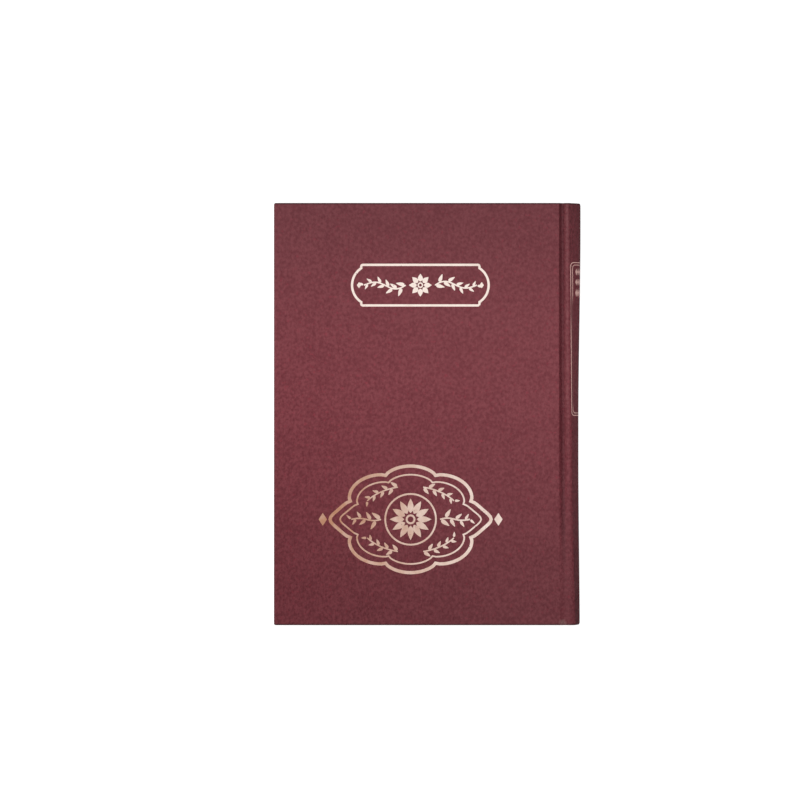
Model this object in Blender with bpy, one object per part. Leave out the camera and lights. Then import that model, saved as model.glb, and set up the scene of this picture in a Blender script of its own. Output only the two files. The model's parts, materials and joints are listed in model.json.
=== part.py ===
"""Case-bound ledger book, lying closed on its back cover.

The spine is on the +X side, the head on +Y, and the front cover faces +Z. Lengths are in metres.
Along the book's width, u is measured from the fore edge of the covers towards the spine.
"""
import math

import bmesh
import bpy
from mathutils import Matrix, Vector

# Leaves and the sewn block
LEAF_WIDTH = 0.2085
LEAF_HEIGHT = 0.297
LEAF_THICKNESS = 0.0002
LEAF_GAP = 0.0002
TURNING_LEAVES = 6
SOLID_SECTIONS = 7
SECTION_THICKNESS = 0.0014
SECTION_GAP = 0.0002
FOLD_ROUNDING = 0.0003
ROUND_DEPTH = 0.0035
BOUND_STRIP = 0.0075
ENDPAPER_THICKNESS = 0.0002

# Sewing and the layers glued over the folds
THREAD_DIAMETER = 0.0005
THREAD_STATIONS = 4
STATION_MARGIN = 0.0495
STITCH_LENGTH = 0.022
MULL_THICKNESS = 0.0003
MULL_MARGIN = 0.0145
LINING_THICKNESS = 0.0002
LINING_MARGIN = 0.0015
BAND_RADIUS = 0.001

# Case: boards, covering cloth, spine card and joints
SQUARE = 0.003
BOARD_THICKNESS = 0.0025
CLOTH_THICKNESS = 0.0004
TURN_IN = 0.015
SPINE_HOLLOW = 0.0005
INLAY_THICKNESS = 0.0008
INLAY_MARGIN = 0.001
JOINT_WIDTH = 0.0092
SHOULDER_DROP = 0.0012
GROOVE_DEPTH = 0.0024
GROOVE_SETBACK = 0.0018
GROOVE_HALF_WIDTH = 0.0011
HINGE_SETBACK = 0.0032

# Fits: glued layers, and pieces that part when the book opens
GLUE_GAP = 0.0002
SHUT_GAP = 0.0003

# Fineness of the round shapes
ARC_STEPS = 16
JOINT_STEPS = 18
SECTION_STEPS = 4
CUT_OVERRUN = 0.002

# Heights of the layers, from the table up
COVER_HEIGHT = LEAF_HEIGHT + 2 * SQUARE
WRAP_THICKNESS = BOARD_THICKNESS + 2 * CLOTH_THICKNESS + 2 * GLUE_GAP
COVER_THICKNESS = WRAP_THICKNESS + GLUE_GAP + ENDPAPER_THICKNESS
LEAF_PITCH = LEAF_THICKNESS + LEAF_GAP
BACK_FLYLEAF_Z = COVER_THICKNESS + SHUT_GAP
SEWN_BOTTOM = BACK_FLYLEAF_Z + ENDPAPER_THICKNESS + LEAF_GAP
SECTION_PITCH = SECTION_THICKNESS + SECTION_GAP
FIRST_SECTION_BOTTOM = SEWN_BOTTOM + SOLID_SECTIONS * SECTION_PITCH
SEWN_TOP = FIRST_SECTION_BOTTOM + TURNING_LEAVES * LEAF_PITCH - LEAF_GAP
FRONT_FLYLEAF_Z = SEWN_TOP + LEAF_GAP
BOOK_THICKNESS = FRONT_FLYLEAF_Z + ENDPAPER_THICKNESS + SHUT_GAP + COVER_THICKNESS
MIDDLE_Z = (SEWN_BOTTOM + SEWN_TOP) / 2

# Rounded back: the folds lie on an arc, and every spine layer is an arc about the same axis
EDGE_FOLD_U = SQUARE + LEAF_WIDTH
HALF_SEWN = (SEWN_TOP - SEWN_BOTTOM) / 2
FOLD_RADIUS = (HALF_SEWN ** 2 + ROUND_DEPTH ** 2) / (2 * ROUND_DEPTH)
ARC_CENTRE_U = EDGE_FOLD_U + ROUND_DEPTH - FOLD_RADIUS
FOLD_HALF_ANGLE = math.asin(HALF_SEWN / FOLD_RADIUS)
THREAD_RADIUS = FOLD_RADIUS + GLUE_GAP + THREAD_DIAMETER / 2
MULL_INNER = FOLD_RADIUS + THREAD_DIAMETER + 2 * GLUE_GAP
LINING_INNER = MULL_INNER + MULL_THICKNESS + GLUE_GAP
FLAP_INNER = LINING_INNER + LINING_THICKNESS + SPINE_HOLLOW
INLAY_INNER = FLAP_INNER + CLOTH_THICKNESS + GLUE_GAP
SPINE_RADIUS = INLAY_INNER + INLAY_THICKNESS + GLUE_GAP + CLOTH_THICKNESS
SHOULDER_ANGLE = math.asin((BOOK_THICKNESS / 2 - SHOULDER_DROP) / SPINE_RADIUS)
INLAY_HALF_ANGLE = SHOULDER_ANGLE - INLAY_MARGIN / INLAY_INNER
SHOULDER_U = ARC_CENTRE_U + SPINE_RADIUS * math.cos(SHOULDER_ANGLE)
BOOK_WIDTH = ARC_CENTRE_U + SPINE_RADIUS
BOARD_END_U = SHOULDER_U - JOINT_WIDTH

# Hinge axes: a cover turns over its joint and comes to lie just clear of the spine's shoulder
HINGE_U = BOARD_END_U + HINGE_SETBACK
HINGE_DEPTH = (SHOULDER_DROP - SHUT_GAP) / 2
LEAF_HINGE_U = EDGE_FOLD_U - BOUND_STRIP
TURN_CLEARANCE = LEAF_THICKNESS + SHUT_GAP

# Surface colours: linear colour, roughness
CLOTH_FINISH = ((0.157, 0.044, 0.052), 0.55)
BOARD_FINISH = ((0.33, 0.31, 0.27), 0.9)
PAPER_FINISH = ((0.80, 0.76, 0.66), 0.85)
ENDPAPER_FINISH = ((0.72, 0.68, 0.60), 0.8)
LINEN_FINISH = ((0.70, 0.66, 0.55), 0.9)
BAND_FINISH = ((0.30, 0.03, 0.04), 0.7)


def point(u, y, z):
    """World point from the width u, measured from the covers' fore edge."""
    return Vector((u - BOOK_WIDTH / 2, y, z))


def arc_point(radius, angle):
    """(u, z) on an arc about the spine's axis; angle 0 points away from the leaves."""
    return (ARC_CENTRE_U + radius * math.cos(angle), MIDDLE_Z + radius * math.sin(angle))


def fold_u(z):
    """Where the rounded back of the sewn block lies at height z."""
    return ARC_CENTRE_U + math.sqrt(FOLD_RADIUS ** 2 - (z - MIDDLE_Z) ** 2)


def spread(low, high, steps):
    """Evenly spaced values from low to high, both included."""
    return [low + (high - low) * i / steps for i in range(steps + 1)]


def mirrored(outline):
    """An (u, z) outline turned over from the front half of the book to the back half."""
    return [(u, BOOK_THICKNESS - z) for u, z in reversed(outline)]


def add_object(name, data, finish):
    """Link a new object with a material of its own."""
    colour, roughness = finish
    material = bpy.data.materials.new(name)
    material.use_nodes = True
    shader = material.node_tree.nodes["Principled BSDF"]
    shader.inputs["Base Color"].default_value = (*colour, 1.0)
    shader.inputs["Roughness"].default_value = roughness
    shader.inputs["Metallic"].default_value = 0.0
    data.materials.append(material)
    obj = bpy.data.objects.new(name, data)
    bpy.context.collection.objects.link(obj)
    return obj


def loft(name, rings, finish):
    """Closed solid through rings of equally many points, capped at both ends."""
    bm = bmesh.new()
    rows = [[bm.verts.new(p) for p in ring] for ring in rings]
    bm.faces.new(rows[0])
    bm.faces.new(reversed(rows[-1]))
    for row, following in zip(rows, rows[1:]):
        for i in range(len(row)):
            j = (i + 1) % len(row)
            bm.faces.new((row[i], following[i], following[j], row[j]))
    bmesh.ops.recalc_face_normals(bm, faces=bm.faces)
    mesh = bpy.data.meshes.new(name)
    bm.to_mesh(mesh)
    bm.free()
    return add_object(name, mesh, finish)


def extruded(name, outline, height, finish):
    """An (u, z) outline drawn along the spine, centred between head and tail."""
    ends = (-height / 2, height / 2)
    return loft(name, [[point(u, y, z) for u, z in outline] for y in ends], finish)


def slab(name, u_span, z_span, height, finish):
    """A flat sheet or board with square edges."""
    (u0, u1), (z0, z1) = u_span, z_span
    return extruded(name, [(u0, z0), (u1, z0), (u1, z1), (u0, z1)], height, finish)


def arc_sheet(name, inner, thickness, half_angle, height, finish):
    """A sheet bent round the spine's axis."""
    angles = spread(-half_angle, half_angle, ARC_STEPS)
    outline = [arc_point(inner + thickness, a) for a in angles]
    outline += [arc_point(inner, a) for a in reversed(angles)]
    obj = extruded(name, outline, height, finish)
    smooth(obj)
    return obj


def smooth(obj):
    """Smooth shading, with the true edges kept sharp."""
    obj.data.shade_smooth()
    obj.data.set_sharp_from_angle(angle=math.radians(40))


def tube(name, path, radius, finish):
    """Round strand along a path, with closed ends."""
    curve = bpy.data.curves.new(name, "CURVE")
    curve.dimensions = "3D"
    curve.bevel_depth = radius
    curve.bevel_resolution = 2
    curve.use_fill_caps = True
    spline = curve.splines.new("POLY")
    spline.points.add(len(path) - 1)
    for place, p in zip(spline.points, path):
        place.co = (*p, 1.0)
    return add_object(name, curve, finish)


def pivot(name, u, z):
    """Empty on a hinge axis, which carries the pieces that turn about it."""
    empty = bpy.data.objects.new(name, None)
    empty.location = point(u, 0.0, z)
    bpy.context.collection.objects.link(empty)
    return empty


def hang(obj, empty):
    """Move the object's origin onto the hinge axis and parent it there."""
    obj.data.transform(Matrix.Translation(-empty.location))
    obj.parent = empty


def cut(obj, name, low, high):
    """Take a box-shaped pocket out of an object."""
    (u0, y0, z0), (u1, y1, z1) = low, high
    corners = [(u0, y0), (u1, y0), (u1, y1), (u0, y1)]
    cutter = loft(name, [[point(u, y, z) for u, y in corners] for z in (z0, z1)], BOARD_FINISH)
    cutter.hide_render = True
    cutter.display_type = "WIRE"
    modifier = obj.modifiers.new(name, "BOOLEAN")
    modifier.operation = "DIFFERENCE"
    modifier.object = cutter


def cover_z(depth, side):
    """Height of a layer that lies depth below a cover's outer face."""
    return BOOK_THICKNESS - depth if side == "front" else depth


def cover(side):
    """Board, covering cloth turned in round three edges, and pastedown, on one hinge."""
    axis = pivot(f"{side}_cover_pivot", HINGE_U, cover_z(HINGE_DEPTH, side))
    half = COVER_HEIGHT / 2

    def span(near, far):
        return sorted((cover_z(near, side), cover_z(far, side)))

    board_top = CLOTH_THICKNESS + GLUE_GAP
    board_low_u = CLOTH_THICKNESS + GLUE_GAP
    board = slab(f"{side}_board", (board_low_u, BOARD_END_U), span(board_top, board_top + BOARD_THICKNESS),
                 COVER_HEIGHT - 2 * board_low_u, BOARD_FINISH)

    cloth = slab(f"{side}_cover_cloth", (0.0, BOARD_END_U), span(0.0, WRAP_THICKNESS), COVER_HEIGHT, CLOTH_FINISH)
    pocket_z = span(CLOTH_THICKNESS, WRAP_THICKNESS - CLOTH_THICKNESS)
    pocket_y = half - CLOTH_THICKNESS
    past_board = BOARD_END_U + CUT_OVERRUN
    cut(cloth, f"{side}_cloth_pocket", (CLOTH_THICKNESS, -pocket_y, pocket_z[0]), (past_board, pocket_y, pocket_z[1]))
    window_z = span(WRAP_THICKNESS - BOARD_THICKNESS / 2, WRAP_THICKNESS + CUT_OVERRUN)
    window_y = half - TURN_IN
    cut(cloth, f"{side}_cloth_window", (TURN_IN, -window_y, window_z[0]), (past_board, window_y, window_z[1]))

    paste_z = span(COVER_THICKNESS - ENDPAPER_THICKNESS, COVER_THICKNESS)
    pastedown = slab(f"{side}_pastedown", (SQUARE, BOARD_END_U), paste_z, LEAF_HEIGHT, ENDPAPER_FINISH)
    for piece in (board, cloth, pastedown):
        hang(piece, axis)


def joint_depth(distance):
    """How far the joint cloth's outer face lies below the cover's, going from board to spine."""
    groove = GROOVE_DEPTH * math.exp(-((distance - GROOVE_SETBACK) / GROOVE_HALF_WIDTH) ** 2)
    rise = min(max((distance - GROOVE_SETBACK) / (JOINT_WIDTH - GROOVE_SETBACK), 0.0), 1.0)
    return groove + SHOULDER_DROP * rise * rise * (3 - 2 * rise)


def joint_cloth(side):
    """Grooved strip of cloth between a board and the spine."""
    distances = spread(SHUT_GAP, JOINT_WIDTH - SHUT_GAP, JOINT_STEPS)
    outer = [(BOARD_END_U + d, BOOK_THICKNESS - joint_depth(d)) for d in distances]
    inner = [(u, z - CLOTH_THICKNESS) for u, z in reversed(outer)]
    outline = outer + inner
    if side == "back":
        outline = mirrored(outline)
    smooth(extruded(f"{side}_joint_cloth", outline, COVER_HEIGHT, CLOTH_FINISH))


def spine_cloth():
    """Covering of the rounded spine, turned in over the card at head and tail."""
    half = COVER_HEIGHT / 2
    flap_outer = FLAP_INNER + CLOTH_THICKNESS
    face_inner = SPINE_RADIUS - CLOTH_THICKNESS
    upper = [(half, SPINE_RADIUS), (half, FLAP_INNER), (half - TURN_IN, FLAP_INNER), (half - TURN_IN, flap_outer),
             (half - CLOTH_THICKNESS, flap_outer), (half - CLOTH_THICKNESS, face_inner)]
    profile = upper + [(-y, radius) for y, radius in reversed(upper)]
    rings = []
    for angle in spread(-SHOULDER_ANGLE, SHOULDER_ANGLE, ARC_STEPS):
        ring = []
        for y, radius in profile:
            u, z = arc_point(radius, angle)
            ring.append(point(u, y, z))
        rings.append(ring)
    smooth(loft("spine_cloth", rings, CLOTH_FINISH))


def spine_layers():
    """Card of the case, and the cloth and paper glued over the sewn folds."""
    inlay_height = COVER_HEIGHT - 2 * (CLOTH_THICKNESS + GLUE_GAP)
    arc_sheet("spine_inlay", INLAY_INNER, INLAY_THICKNESS, INLAY_HALF_ANGLE, inlay_height, BOARD_FINISH)
    mull_height = LEAF_HEIGHT - 2 * MULL_MARGIN
    arc_sheet("mull", MULL_INNER, MULL_THICKNESS, FOLD_HALF_ANGLE, mull_height, LINEN_FINISH)
    lining_height = LEAF_HEIGHT - 2 * LINING_MARGIN
    arc_sheet("spine_lining", LINING_INNER, LINING_THICKNESS, FOLD_HALF_ANGLE, lining_height, PAPER_FINISH)


def folded_edge(bottom, top):
    """Spine side of a section: it follows the rounded back, with its two corners eased."""
    heights = spread(bottom + FOLD_ROUNDING, top - FOLD_ROUNDING, SECTION_STEPS)
    edge = [(fold_u(bottom) - FOLD_ROUNDING, bottom)]
    edge += [(fold_u(z), z) for z in heights]
    edge.append((fold_u(top) - FOLD_ROUNDING, top))
    return edge


def sections():
    """Folded sections, numbered from the front; the first keeps only its bound edge."""
    slope_top = LEAF_HINGE_U - (FRONT_FLYLEAF_Z - SEWN_TOP) + TURN_CLEARANCE
    slope_bottom = LEAF_HINGE_U - (FRONT_FLYLEAF_Z - FIRST_SECTION_BOTTOM) + TURN_CLEARANCE
    outline = folded_edge(FIRST_SECTION_BOTTOM, SEWN_TOP)
    outline += [(slope_top, SEWN_TOP), (slope_bottom, FIRST_SECTION_BOTTOM)]
    extruded("section_1", outline, LEAF_HEIGHT, PAPER_FINISH)
    for number in range(2, SOLID_SECTIONS + 2):
        top = FIRST_SECTION_BOTTOM - SECTION_GAP - (number - 2) * SECTION_PITCH
        bottom = top - SECTION_THICKNESS
        fore_edge = [(fold_u(z) - LEAF_WIDTH, z) for z in spread(top, bottom, SECTION_STEPS)]
        outline = folded_edge(bottom, top) + fore_edge
        extruded(f"section_{number}", outline, LEAF_HEIGHT, PAPER_FINISH)


def leaves():
    """Leaves of the first section, each on its own hinge at the edge of its bound strip."""
    for number in range(1, TURNING_LEAVES + 1):
        bottom = FRONT_FLYLEAF_Z - number * LEAF_PITCH
        hinge_u = LEAF_HINGE_U - number * LEAF_PITCH
        axis = pivot(f"leaf_{number}_pivot", hinge_u, bottom)
        u_span = (fold_u(bottom) - LEAF_WIDTH, hinge_u)
        hang(slab(f"leaf_{number}", u_span, (bottom, bottom + LEAF_THICKNESS), LEAF_HEIGHT, PAPER_FINISH), axis)


def endpapers(side):
    """Loose flyleaf on its hinge, and the strip of endpaper that crosses the joint."""
    low = FRONT_FLYLEAF_Z if side == "front" else BACK_FLYLEAF_Z
    z_span = (low, low + ENDPAPER_THICKNESS)
    hinge_z = z_span[0] if side == "front" else z_span[1]
    axis = pivot(f"{side}_flyleaf_pivot", LEAF_HINGE_U, hinge_z)
    hang(slab(f"{side}_flyleaf", (SQUARE, LEAF_HINGE_U), z_span, LEAF_HEIGHT, ENDPAPER_FINISH), axis)
    strip = (LEAF_HINGE_U + TURN_CLEARANCE, EDGE_FOLD_U)
    slab(f"{side}_endpaper_hinge", strip, z_span, LEAF_HEIGHT, ENDPAPER_FINISH)


def sewing():
    """One thread at each station, stitched from fold to fold across the sections."""
    heights = [SEWN_BOTTOM + SECTION_THICKNESS / 2 + i * SECTION_PITCH for i in range(SOLID_SECTIONS)]
    heights.append((FIRST_SECTION_BOTTOM + SEWN_TOP) / 2)
    end = LEAF_HEIGHT / 2 - STATION_MARGIN
    for station, middle in enumerate(spread(-end, end, THREAD_STATIONS - 1)):
        path = []
        for i, z in enumerate(heights):
            u, z = arc_point(THREAD_RADIUS, math.asin((z - MIDDLE_Z) / FOLD_RADIUS))
            stitch = STITCH_LENGTH if i % 2 == 0 else -STITCH_LENGTH
            path += [point(u, middle + share * stitch, z) for share in (-0.5, 0.0, 0.5)]
        tube(f"sewing_thread_{station + 1}", path, THREAD_DIAMETER / 2, LINEN_FINISH)


def bands():
    """Rounded beads that finish the ends of the spine."""
    radius = FOLD_RADIUS - GLUE_GAP
    half_angle = math.asin((HALF_SEWN - BAND_RADIUS) / radius)
    for name, end in (("head_band", 1), ("tail_band", -1)):
        y = end * (LEAF_HEIGHT / 2 + GLUE_GAP + BAND_RADIUS)
        arc = [arc_point(radius - BAND_RADIUS, a) for a in spread(-half_angle, half_angle, ARC_STEPS)]
        tube(name, [point(u, y, z) for u, z in arc], BAND_RADIUS, BAND_FINISH)


def main():
    for obj in list(bpy.data.objects):
        bpy.data.objects.remove(obj)
    for side in ("front", "back"):
        cover(side)
        joint_cloth(side)
        endpapers(side)
    spine_cloth()
    spine_layers()
    sections()
    leaves()
    sewing()
    bands()


main()
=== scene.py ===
"""Looks of a case-bound ledger: covering cloth, stamped foil, papers and a plain studio.

The book lies closed on its back cover, with the head on +Y and the spine on +X. Lengths are in metres.
"""
import functools
import json
import math

import bmesh
import bpy
from bpy.props import FloatProperty, FloatVectorProperty, IntProperty, PointerProperty
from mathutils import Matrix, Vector


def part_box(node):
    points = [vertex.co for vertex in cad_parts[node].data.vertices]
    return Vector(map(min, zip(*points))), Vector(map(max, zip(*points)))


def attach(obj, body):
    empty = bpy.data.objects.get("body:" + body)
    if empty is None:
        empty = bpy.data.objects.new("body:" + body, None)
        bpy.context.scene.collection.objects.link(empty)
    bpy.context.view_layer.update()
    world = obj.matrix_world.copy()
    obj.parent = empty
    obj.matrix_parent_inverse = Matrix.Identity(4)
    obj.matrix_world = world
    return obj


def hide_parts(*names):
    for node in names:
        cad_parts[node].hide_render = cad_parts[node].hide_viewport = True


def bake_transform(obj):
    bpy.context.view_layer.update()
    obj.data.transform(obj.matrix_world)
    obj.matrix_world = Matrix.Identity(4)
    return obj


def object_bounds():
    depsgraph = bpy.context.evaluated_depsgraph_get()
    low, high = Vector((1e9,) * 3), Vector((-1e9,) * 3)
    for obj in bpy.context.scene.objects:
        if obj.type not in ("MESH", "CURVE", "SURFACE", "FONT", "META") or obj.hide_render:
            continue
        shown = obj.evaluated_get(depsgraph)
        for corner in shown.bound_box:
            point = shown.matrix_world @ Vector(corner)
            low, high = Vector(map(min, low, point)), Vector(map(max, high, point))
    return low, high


bl_info = {
    "name": "Ledger Book Looks",
    "version": (1, 0, 0),
    "blender": (4, 5, 0),
    "location": "View3D > Sidebar > Ledger",
    "description": "Dresses the packed ledger book and sets up its studio",
    "category": "Object",
}

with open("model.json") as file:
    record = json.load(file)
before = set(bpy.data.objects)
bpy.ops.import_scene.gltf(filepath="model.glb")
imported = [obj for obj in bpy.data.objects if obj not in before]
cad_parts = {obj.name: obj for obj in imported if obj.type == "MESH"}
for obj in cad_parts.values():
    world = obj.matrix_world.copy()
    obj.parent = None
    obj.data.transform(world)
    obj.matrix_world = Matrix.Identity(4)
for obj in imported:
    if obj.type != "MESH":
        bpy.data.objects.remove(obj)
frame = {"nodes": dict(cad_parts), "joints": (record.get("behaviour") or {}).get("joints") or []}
CAD_LOW, CAD_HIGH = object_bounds()
MERGE = 1e-6
SHARP_ANGLE = math.radians(50.0)
QUARTER = math.pi / 2
UP = Vector((0, 0, 1))
SPINEWARD = Vector((1, 0, 0))
SIDES = ("front", "back")
ENDS = (1, -1)

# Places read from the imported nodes
COVER_LOW, COVER_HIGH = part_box("front_cover_cloth")
PASTE_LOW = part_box("front_pastedown")[0]
LEAF_LOW, LEAF_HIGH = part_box("section_5")
SPINE_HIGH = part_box("spine_cloth")[1]
STRIP_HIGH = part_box("front_endpaper_hinge")[1]
SEWN_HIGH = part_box("section_1")[1]
BOOK_TOP = CAD_HIGH.z
MIDDLE_Z = (CAD_LOW.z + CAD_HIGH.z) / 2
FORE_X = COVER_LOW.x
BOARD_END_X = COVER_HIGH.x
HALF_HEIGHT = COVER_HIGH.y
WRAP_DEPTH = COVER_HIGH.z - COVER_LOW.z
HALF_LEAF = LEAF_HIGH.y
SHOULDER_Z = SPINE_HIGH.z
APEX_X = SPINE_HIGH.x
SHOULDER_X = max(v.co.x for v in frame["nodes"]["spine_cloth"].data.vertices if v.co.z > SHOULDER_Z - MERGE)


def length(name, description, default):
    """A length that a user may change."""
    return FloatProperty(name=name, description=description, default=default, subtype="DISTANCE",
                         unit="LENGTH", precision=5)


def colour(name, description, default):
    """A linear colour that a user may change."""
    return FloatVectorProperty(name=name, description=description, default=default, subtype="COLOR", size=3,
                               min=0.0, max=1.0)


def share(name, description, default):
    """A plain number that a user may change."""
    return FloatProperty(name=name, description=description, default=default)


class LedgerCovering(bpy.types.PropertyGroup):
    """Shape of the cloth covering."""
    cloth: length("Cloth", "Thickness of the covering cloth", 0.0004)
    edge_round: length("Edge rounding", "Radius of the cloth over the board's edges", 0.0012)
    turn_in: length("Turn-in", "How far the cloth is turned in round the boards", 0.015)
    groove_head: length("Groove at head", "Depth of the joint's groove at the head", 0.0030)
    groove_tail: length("Groove at tail", "Depth of the joint's groove near the tail", 0.0006)
    groove_half: length("Groove half width", "Half the width of the joint's groove", 0.0024)
    groove_place: length("Groove place", "From the board's end to the middle of the groove", 0.0028)
    groove_drift: length("Groove drift", "How far the groove drifts towards the spine at the tail", 0.0018)
    shoulder_skew: length("Shoulder skew", "How far the shoulder crease leans from head to tail", 0.0014)
    shoulder_flare: length("Shoulder flare", "How far the crease swings out to the spine at the tail", 0.0013)
    spine_reach: length("Spine reach", "How far the spine stands out beyond its solid", 0.0013)
    spine_bow: length("Spine bow", "How far the spine is pressed in at half height", 0.0015)
    spine_peak: share("Spine peak", "How sharply the spine is rounded at its middle: lower is sharper", 0.45)
    cap_round: length("Cap rounding", "Length of the rounding at the ends of the spine", 0.0021)
    scuff_x: length("Scuff X", "Middle of the rubbed place on the front joint", 0.0978)
    scuff_y: length("Scuff Y", "Middle of the rubbed place on the front joint", -0.1500)
    scuff_reach: length("Scuff reach", "To the rim of the rubbed place", 0.0036)
    # The ridge tops get a pale rub that is partly a painted highlight
    ridge_x: length("Ridge X", "Top of the ridges between groove and spine, which are rubbed", 0.1006)
    wrap: length("Spine wrap", "Cloth, card and turned-in cloth of the spine together", 0.0019)


class LedgerColours(bpy.types.PropertyGroup):
    """Colours of the finishes."""
    cloth: colour("Cloth", "Burgundy of the covering", (0.200, 0.0465, 0.0570))
    cloth_dark: colour("Cloth, dark", "Darker grain of the covering", (0.149, 0.0290, 0.0380))
    cloth_fleck: colour("Cloth, flecks", "Redder flecks in the grain", (0.250, 0.034, 0.052))
    # Pale colour of the scuff, which is wear, and of the painted highlight on the ridge tops
    cloth_rub_and_highlight: colour("Cloth, rubbed", "Covering where it is rubbed pale", (0.27, 0.125, 0.125))
    # Painted shade: multiplied in towards the bottom and the left of the cloth
    cloth_shade_tint_below_left: colour("Cloth, deep", "What is left of it where it has faded least", (0.95, 0.60, 0.69))
    # Painted shade: multiplied in along the head and tail edges and in the groove
    cloth_edge_shade_tint: colour("Cloth, soiled", "What is left of it along the edges and grooves", (0.48, 0.48, 0.50))
    # Foil pale and copper are the two ends of a painted reflection across the cover
    foil_pale: colour("Foil, pale", "Foil where it shines", (0.98, 0.84, 0.76))
    foil_copper: colour("Foil, copper", "Foil where it is dull", (0.50, 0.25, 0.155))
    foil_rose: colour("Foil, rose", "Foil on the spine", (0.99, 0.60, 0.54))
    card: colour("Card", "Grey card of the boards", (0.37, 0.35, 0.30))
    card_dark: colour("Card, dark", "Darker fibres of the card", (0.24, 0.22, 0.19))
    endpaper: colour("Endpaper", "Cream of the endpapers", (0.87, 0.83, 0.74))
    endpaper_dark: colour("Endpaper, dark", "Darker fibres of the endpapers", (0.78, 0.73, 0.63))
    leaf: colour("Leaf", "Paper of the leaves", (0.90, 0.87, 0.79))
    leaf_dark: colour("Leaf, dark", "Darker fibres of the leaves", (0.76, 0.71, 0.60))
    rule_blue: colour("Rows", "Ruled rows of the leaves", (0.25, 0.36, 0.52))
    rule_red: colour("Columns", "Ruled columns of the leaves", (0.52, 0.13, 0.12))
    band_red: colour("Band, red", "Dark thread of the bands", (0.32, 0.03, 0.04))
    band_cream: colour("Band, cream", "Pale thread of the bands", (0.75, 0.68, 0.52))
    band_shade: colour("Band, shade", "Between the strands of the bands", (0.05, 0.02, 0.02))
    linen: colour("Linen", "Threads of the mull and the sewing", (0.74, 0.70, 0.59))
    linen_dark: colour("Linen, dark", "Between the threads of the mull", (0.42, 0.38, 0.29))


class LedgerFoil(bpy.types.PropertyGroup):
    """Sizes and places of the stamped foil."""
    film: length("Film", "How far the foil stands on the cloth", 0.00004)
    title_x: length("Title X", "Middle of the title frame", -0.0045)
    title_y: length("Title Y", "Middle of the title frame", 0.0925)
    title_half_width: length("Title half width", "To the ends of the title frame's straight lines", 0.0424)
    title_half_height: length("Title half height", "To the title frame's straight lines", 0.01455)
    title_bulge: length("Title bulge", "How far the frame's round ends stand out", 0.0066)
    title_notch: length("Title notch", "Step at the title frame's corners", 0.0024)
    title_line: length("Title line", "Width of the title frame's line", 0.00165)
    panel_x: length("Panel X", "Middle of the lower ornament", -0.0115)
    panel_y: length("Panel Y", "Middle of the lower ornament", -0.0755)
    panel_half_width: length("Panel half width", "To the tips of the lower ornament", 0.0663)
    panel_half_height: length("Panel half height", "To the top of the lower ornament", 0.0394)
    panel_line: length("Panel line", "Width of the lower ornament's line", 0.0023)
    spine_top: length("Spine frame top", "Upper end of the spine's frame", 0.1088)
    spine_bottom: length("Spine frame bottom", "Lower end of the spine's frame", -0.0009)
    spine_line: length("Spine line", "Width of the spine frame's lines", 0.0006)
    spine_gap: length("Spine gap", "From the spine frame's outer line to its inner one", 0.0017)


class LedgerPaper(bpy.types.PropertyGroup):
    """Sizes of the papers and their ruling."""
    leaf: length("Leaf", "Thickness of a leaf", 0.0001)
    endpaper: length("Endpaper", "Thickness of an endpaper", 0.00018)
    relief: length("Turn-in relief", "How far the turned-in cloth shows through a pastedown", 0.0004)
    bend: length("Bend", "Length over which a leaf curves up from its hinge", 0.045)
    row: length("Row", "Height of a ruled row", 0.0081)
    head_margin: length("Head margin", "From the head of a leaf to its heading lines", 0.024)
    rule: length("Rule", "Width of a ruled line", 0.0003)
    stack_pitch: length("Stack pitch", "From one leaf of a section to the next", 0.00014)
    stack_jitter: length("Stack jitter", "How unevenly the leaves' edges lie", 0.00016)
    band_wraps: IntProperty(name="Band wraps", description="Turns of thread on a band", default=34, min=4)
    band_thread: length("Band thread", "Thickness that the thread adds to a band's core", 0.00016)


class LedgerStage(bpy.types.PropertyGroup):
    """Camera and studio."""
    view_width: length("View width", "Width of the picture at the front cover", 0.5739)
    aim_x: length("Aim X", "Point that the camera looks at", -0.0191)
    aim_y: length("Aim Y", "Point that the camera looks at", 0.0101)
    lens: share("Lens", "Focal length in millimetres", 200.0)
    sensor: share("Sensor", "Width of the camera's sensor in millimetres", 36.0)
    floor_half: length("Floor", "Half the width of the floor", 6.0)
    floor_gap: length("Floor gap", "From the book down to the floor", 0.0004)
    floor_glow: share("Floor glow", "White that the camera sees on the floor besides its own light", 0.86)
    ambient: share("Ambient", "Strength of the soft light all round", 0.71)
    ambient_lean: share("Ambient lean", "How much stronger the soft light is on the left than in the middle",
                        0.66)
    lamp: share("Lamp", "Power of the strip lamp in watts", 0.112)
    lamp_width: length("Lamp width", "Narrow side of the strip lamp", 0.07)
    lamp_length: length("Lamp length", "Long side of the strip lamp", 0.46)
    lamp_spread: share("Lamp spread", "Angle of the strip lamp's beam in degrees", 18.0)


def sizes():
    """Sizes of the covering, as the user has set them."""
    return bpy.context.scene.ledger_covering


def colours():
    """Colours of the finishes, as the user has set them."""
    return bpy.context.scene.ledger_colours


def foil():
    """Sizes of the stamped foil, as the user has set them."""
    return bpy.context.scene.ledger_foil


def paper():
    """Sizes of the papers, as the user has set them."""
    return bpy.context.scene.ledger_paper


# Meshes

def smoothstep(low, high, value):
    """0 below low, 1 above high, and smooth between them."""
    t = min(max((value - low) / (high - low), 0.0), 1.0)
    return t * t * (3 - 2 * t)


def spread(low, high, steps):
    """Evenly spaced values from low to high, both included."""
    return [low + (high - low) * i / steps for i in range(steps + 1)]


def flip(point):
    """A point of the front half of the book turned over to the back half."""
    return Vector((point.x, point.y, 2 * MIDDLE_Z - point.z))


def side_place(side):
    """Points of the front half as they are, or turned over for the back half."""
    return (lambda p: p) if side == "front" else flip


def outward(side):
    """The way that the outer face of a cover looks."""
    return UP if side == "front" else -UP


def link_object(name, data):
    """An object at the origin, linked to the scene."""
    obj = bpy.data.objects.new(name, data)
    bpy.context.scene.collection.objects.link(obj)
    return obj


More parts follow.
